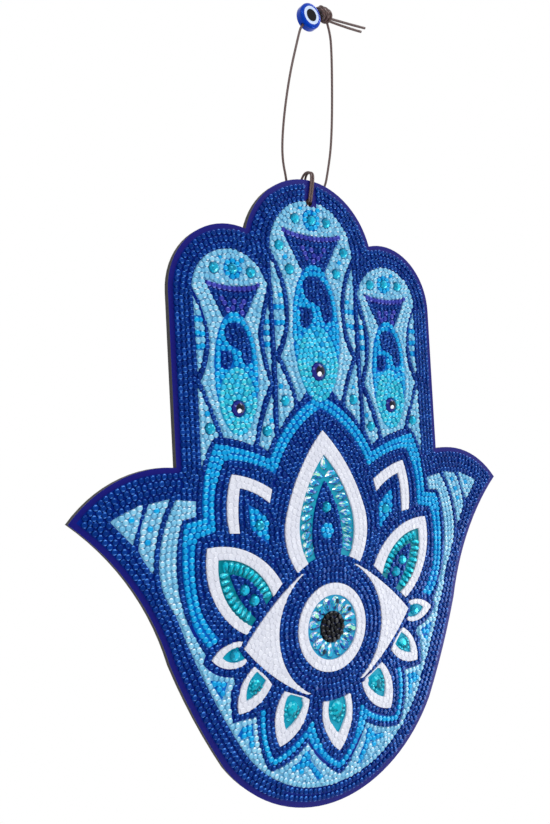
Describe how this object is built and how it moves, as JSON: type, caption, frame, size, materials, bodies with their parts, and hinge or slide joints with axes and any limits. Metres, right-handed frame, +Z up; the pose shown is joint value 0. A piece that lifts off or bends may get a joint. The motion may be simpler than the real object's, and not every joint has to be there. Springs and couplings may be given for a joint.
{
  "type": "hamsa hand ornament",
  "caption": "Flat hanging hand with a patterned front of resin drills and gems, on a knotted cord loop with an eye bead.",
  "frame": {"origin": "crown of the cord's loop, where a nail or hook carries the ornament, in front of the hand's axis of symmetry", "axes": "+X to the right seen from the front, +Y from the decorated front to the plain back, +Z up from the hand's wrist to its fingers"},
  "size_m": [0.2606, 0.0243, 0.3901],
  "materials": {
    "fibreboard": "laser-cut edge, browned; plain smooth back",
    "printed_film": "printed self-adhesive sheet, satin",
    "resin_navy": "faceted round resin drills",
    "resin_azure": "faceted round resin drills",
    "resin_light_blue": "faceted round resin drills",
    "resin_white": "faceted round resin drills",
    "resin_turquoise": "faceted round resin drills",
    "resin_violet": "faceted round resin drills",
    "resin_black": "faceted round resin drills",
    "gem_clear": "iridescent faceted resin drops",
    "gem_turquoise": "domed resin gems",
    "gem_teal": "faceted resin drops",
    "eye_gem": "domed gem printed as a fish eye",
    "waxed_cord": "round waxed cord",
    "cobalt_glass": "opaque cobalt glass",
    "pale_glass": "opaque pale blue glass",
    "black_glass": "opaque black glass"
  },
  "bodies": {
    "hanger": {"cord_left_strand": "waxed_cord", "cord_right_strand": "waxed_cord", "cord_knot": "waxed_cord", "cord_upper_tail": "waxed_cord", "cord_lower_tail": "waxed_cord"},
    "hand": {"board": "fibreboard", "cord_back_left": "waxed_cord", "cord_back_right": "waxed_cord", "cord_bight": "waxed_cord", "drills_azure_band": "resin_azure", "drills_azure_diamonds": "resin_azure", "drills_azure_fish": "resin_azure", "drills_azure_leaf_bars": "resin_azure", "drills_azure_lower_band": "resin_azure", "drills_azure_rosettes": "resin_azure", "drills_azure_scrolls": "resin_azure", "drills_black_pupil": "resin_black", "drills_light_blue_frames": "resin_light_blue", "drills_light_blue_leaves": "resin_light_blue", "drills_light_blue_lower": "resin_light_blue", "drills_light_blue_thumbs": "resin_light_blue", "drills_navy_fish": "resin_navy", "drills_navy_ground": "resin_navy", "drills_navy_petals": "resin_navy", "drills_turquoise_fish": "resin_turquoise", "drills_violet_tails": "resin_violet", "drills_white_chevrons": "resin_white", "drills_white_eye": "resin_white", "drills_white_petals": "resin_white", "drills_white_ring": "resin_white", "fish_eye_left": "eye_gem", "fish_eye_middle": "eye_gem", "fish_eye_right": "eye_gem", "gems_domes": "gem_turquoise", "gems_iris_drops": "gem_clear", "gems_lower_petal_buds": "gem_teal", "gems_lower_petal_drops": "gem_teal", "gems_petal_drops": "gem_clear", "gems_side_petal_drops": "gem_teal", "printed_sheet": "printed_film"},
    "bead": {"bead_glass": "cobalt_glass", "bead_white_ring": "pale_glass", "bead_pupil": "black_glass"}
  },
  "joints": [
    {"name": "board_swing", "type": "hinge", "parent": "hanger", "child": "hand", "pos_m": [0, 0.0156, -0.08], "axis": [1, 0, 0], "range_deg": [-60, 60]},
    {"name": "bead_spin", "type": "hinge", "parent": "hanger", "child": "bead", "pos_m": [-0.0028, 0.0009, -0.0029], "axis": [0.6428, 0, 0.766], "continuous": true}
  ]
}
